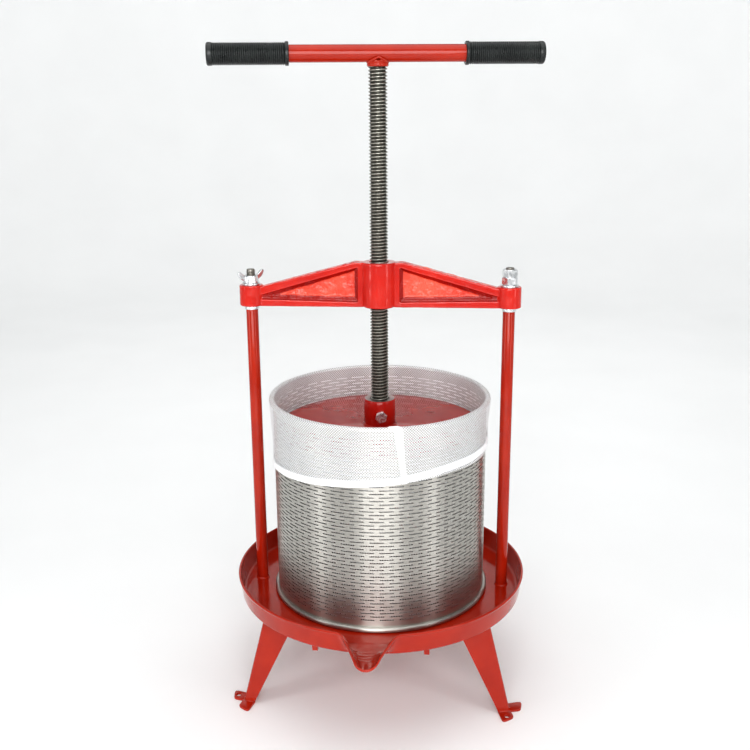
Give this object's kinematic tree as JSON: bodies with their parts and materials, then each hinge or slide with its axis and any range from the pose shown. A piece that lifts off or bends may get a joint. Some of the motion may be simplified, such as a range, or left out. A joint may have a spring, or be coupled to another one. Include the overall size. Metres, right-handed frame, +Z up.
{
  "type": "basket wine press",
  "caption": "Screw press with a slotted steel basket, mesh press bag, T-handle, cast cross beam on two posts, and a spouted juice pan on angle legs.",
  "frame": {"origin": "on the ground under the screw axis, at the centre of the three drilled feet", "axes": "+Z up along the screw, pouring spout towards -Y, the two posts and the beam along X"},
  "size_m": [0.4162, 0.469, 0.8675],
  "materials": {
    "pan_paint": "gloss red enamel",
    "frame_paint": "gloss red enamel",
    "beam_paint": "gloss red enamel over rough casting",
    "zinc": "bright zinc plate",
    "stainless": "satin stainless",
    "net": "white nylon net",
    "net_tape": "white nylon tape",
    "screw_steel": "oiled black steel",
    "grip_rubber": "ribbed black rubber"
  },
  "bodies": {
    "frame": {"base_pan": "pan_paint", "cross_member": "frame_paint", "stiffener_front_left": "frame_paint", "stiffener_front_right": "frame_paint", "stiffener_rear_left": "frame_paint", "stiffener_rear_right": "frame_paint", "leg_front_left": "frame_paint", "leg_front_right": "frame_paint", "leg_rear": "frame_paint", "post_left": "frame_paint", "post_right": "frame_paint", "post_foot_washers": "zinc", "post_foot_nuts": "zinc", "beam_seat_rings": "zinc", "cross_beam": "beam_paint", "right_top_washer": "zinc", "clamp_nut": "zinc", "lock_nut": "zinc"},
    "wing_washer": {"left_top_washer": "zinc"},
    "wing_nut": {"wing_nut": "zinc"},
    "basket": {"basket_wall": "stainless", "basket_top_bead": "stainless", "basket_bottom_bead": "stainless", "bag_net": "net", "bag_floor": "net", "bag_hem": "net_tape", "bag_seam": "net_tape"},
    "press_plate": {"press_disc": "pan_paint", "plate_hub": "frame_paint", "thrust_washer": "zinc", "hub_bolts": "zinc"},
    "screw_handle": {"screw": "screw_steel", "handle_bar": "frame_paint", "handle_weld": "frame_paint", "grip_left": "grip_rubber", "grip_right": "grip_rubber"}
  },
  "joints": [
    {"name": "plate_travel", "type": "slide", "parent": "frame", "child": "press_plate", "axis": [0, 0, 1], "range_m": [-0.2228, 0.1241]},
    {"name": "screw_spin", "type": "hinge", "parent": "press_plate", "child": "screw_handle", "pos_m": [0, 0, 0.6], "axis": [0, 0, 1], "range_deg": [-19080, 10620]},
    {"name": "wing_nut_rise", "type": "slide", "parent": "frame", "child": "wing_washer", "axis": [0, 0, 1], "range_m": [0, 0.0176]},
    {"name": "wing_nut_spin", "type": "hinge", "parent": "wing_washer", "child": "wing_nut", "pos_m": [-0.17, 0, 0.57], "axis": [0, 0, 1], "range_deg": [0, 3600]},
    {"name": "basket_lift", "type": "slide", "parent": "frame", "child": "basket", "axis": [0, 0, 1], "range_m": [0, 0.115], "deforming": ["bag_floor"]}
  ],
  "couplings": [
    {"joint": "plate_travel", "follows": "screw_spin", "m_per_rad": 0.00066845},
    {"joint": "wing_nut_rise", "follows": "wing_nut_spin", "m_per_rad": 0.00027852}
  ]
}
